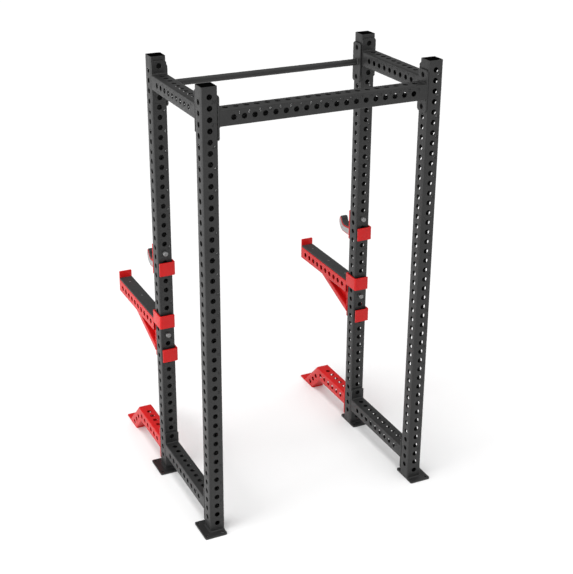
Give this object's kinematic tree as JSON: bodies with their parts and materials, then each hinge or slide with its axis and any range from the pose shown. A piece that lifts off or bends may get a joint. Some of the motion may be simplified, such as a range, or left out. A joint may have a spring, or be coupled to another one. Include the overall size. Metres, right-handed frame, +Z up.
{
  "type": "power cage",
  "caption": "Free-standing square-tube lifting cage with drilled uprights, bolted crossmembers, a pull-up bar, angled front feet, and bar hooks and spotter arms that twist on pins.",
  "frame": {"origin": "On the floor, at the middle of the footprint's bounding box.", "axes": "+Z up. -Y is the cage's front, where the feet, hooks and spotter arms stand out, and +X is its right seen from the front."},
  "size_m": [1.28, 1.3, 2.25],
  "materials": {
    "charcoal_powder_coat": "charcoal satin powder coat",
    "red_powder_coat": "red gloss powder coat",
    "black_plastic": "moulded black, matt",
    "liner_plastic": "machined dense plastic, matt",
    "brushed_steel": "brushed plate",
    "zinc_steel": "grey zinc plating"
  },
  "bodies": {
    "cage": {"front_left_upright": "charcoal_powder_coat", "front_left_floor_plate": "charcoal_powder_coat", "front_left_end_cap": "black_plastic", "back_left_upright": "charcoal_powder_coat", "back_left_floor_plate": "charcoal_powder_coat", "back_left_end_cap": "black_plastic", "front_right_upright": "charcoal_powder_coat", "front_right_floor_plate": "charcoal_powder_coat", "front_right_end_cap": "black_plastic", "back_right_upright": "charcoal_powder_coat", "back_right_floor_plate": "charcoal_powder_coat", "back_right_end_cap": "black_plastic", "back_top_beam": "charcoal_powder_coat", "pull_up_bar": "charcoal_powder_coat", "left_top_beam": "charcoal_powder_coat", "left_bottom_beam": "charcoal_powder_coat", "left_foot_frame": "red_powder_coat", "left_foot_plate": "red_powder_coat", "right_top_beam": "charcoal_powder_coat", "right_bottom_beam": "charcoal_powder_coat", "right_foot_frame": "red_powder_coat", "right_foot_plate": "red_powder_coat"},
    "left_j_cup": {"left_j_cup_bracket": "red_powder_coat", "left_j_cup_hook": "red_powder_coat", "left_j_cup_liner": "liner_plastic", "left_j_cup_left_cheek": "brushed_steel", "left_j_cup_right_cheek": "brushed_steel", "left_j_cup_pin": "zinc_steel", "left_j_cup_pad": "black_plastic"},
    "left_spotter_arm": {"left_arm_bracket": "red_powder_coat", "left_arm_beam": "red_powder_coat", "left_arm_end_stop": "red_powder_coat", "left_arm_liner": "liner_plastic", "left_arm_brace": "red_powder_coat", "left_arm_pin": "zinc_steel", "left_arm_upper_pad": "black_plastic", "left_arm_lower_pad": "black_plastic"},
    "right_j_cup": {"right_j_cup_bracket": "red_powder_coat", "right_j_cup_hook": "red_powder_coat", "right_j_cup_liner": "liner_plastic", "right_j_cup_left_cheek": "brushed_steel", "right_j_cup_right_cheek": "brushed_steel", "right_j_cup_pin": "zinc_steel", "right_j_cup_pad": "black_plastic"},
    "right_spotter_arm": {"right_arm_bracket": "red_powder_coat", "right_arm_beam": "red_powder_coat", "right_arm_end_stop": "red_powder_coat", "right_arm_liner": "liner_plastic", "right_arm_brace": "red_powder_coat", "right_arm_pin": "zinc_steel", "right_arm_upper_pad": "black_plastic", "right_arm_lower_pad": "black_plastic"}
  },
  "joints": [
    {"name": "left_j_cup_twist", "type": "hinge", "parent": "cage", "child": "left_j_cup", "pos_m": [-0.5625, -0.096, 1.255], "axis": [0, 1, 0], "range_deg": [0, 90]},
    {"name": "left_spotter_arm_twist", "type": "hinge", "parent": "cage", "child": "left_spotter_arm", "pos_m": [-0.5625, -0.096, 0.805], "axis": [0, 1, 0], "range_deg": [0, 90]},
    {"name": "right_j_cup_twist", "type": "hinge", "parent": "cage", "child": "right_j_cup", "pos_m": [0.5625, -0.096, 1.255], "axis": [0, 1, 0], "range_deg": [0, 90]},
    {"name": "right_spotter_arm_twist", "type": "hinge", "parent": "cage", "child": "right_spotter_arm", "pos_m": [0.5625, -0.096, 0.805], "axis": [0, 1, 0], "range_deg": [0, 90]}
  ]
}
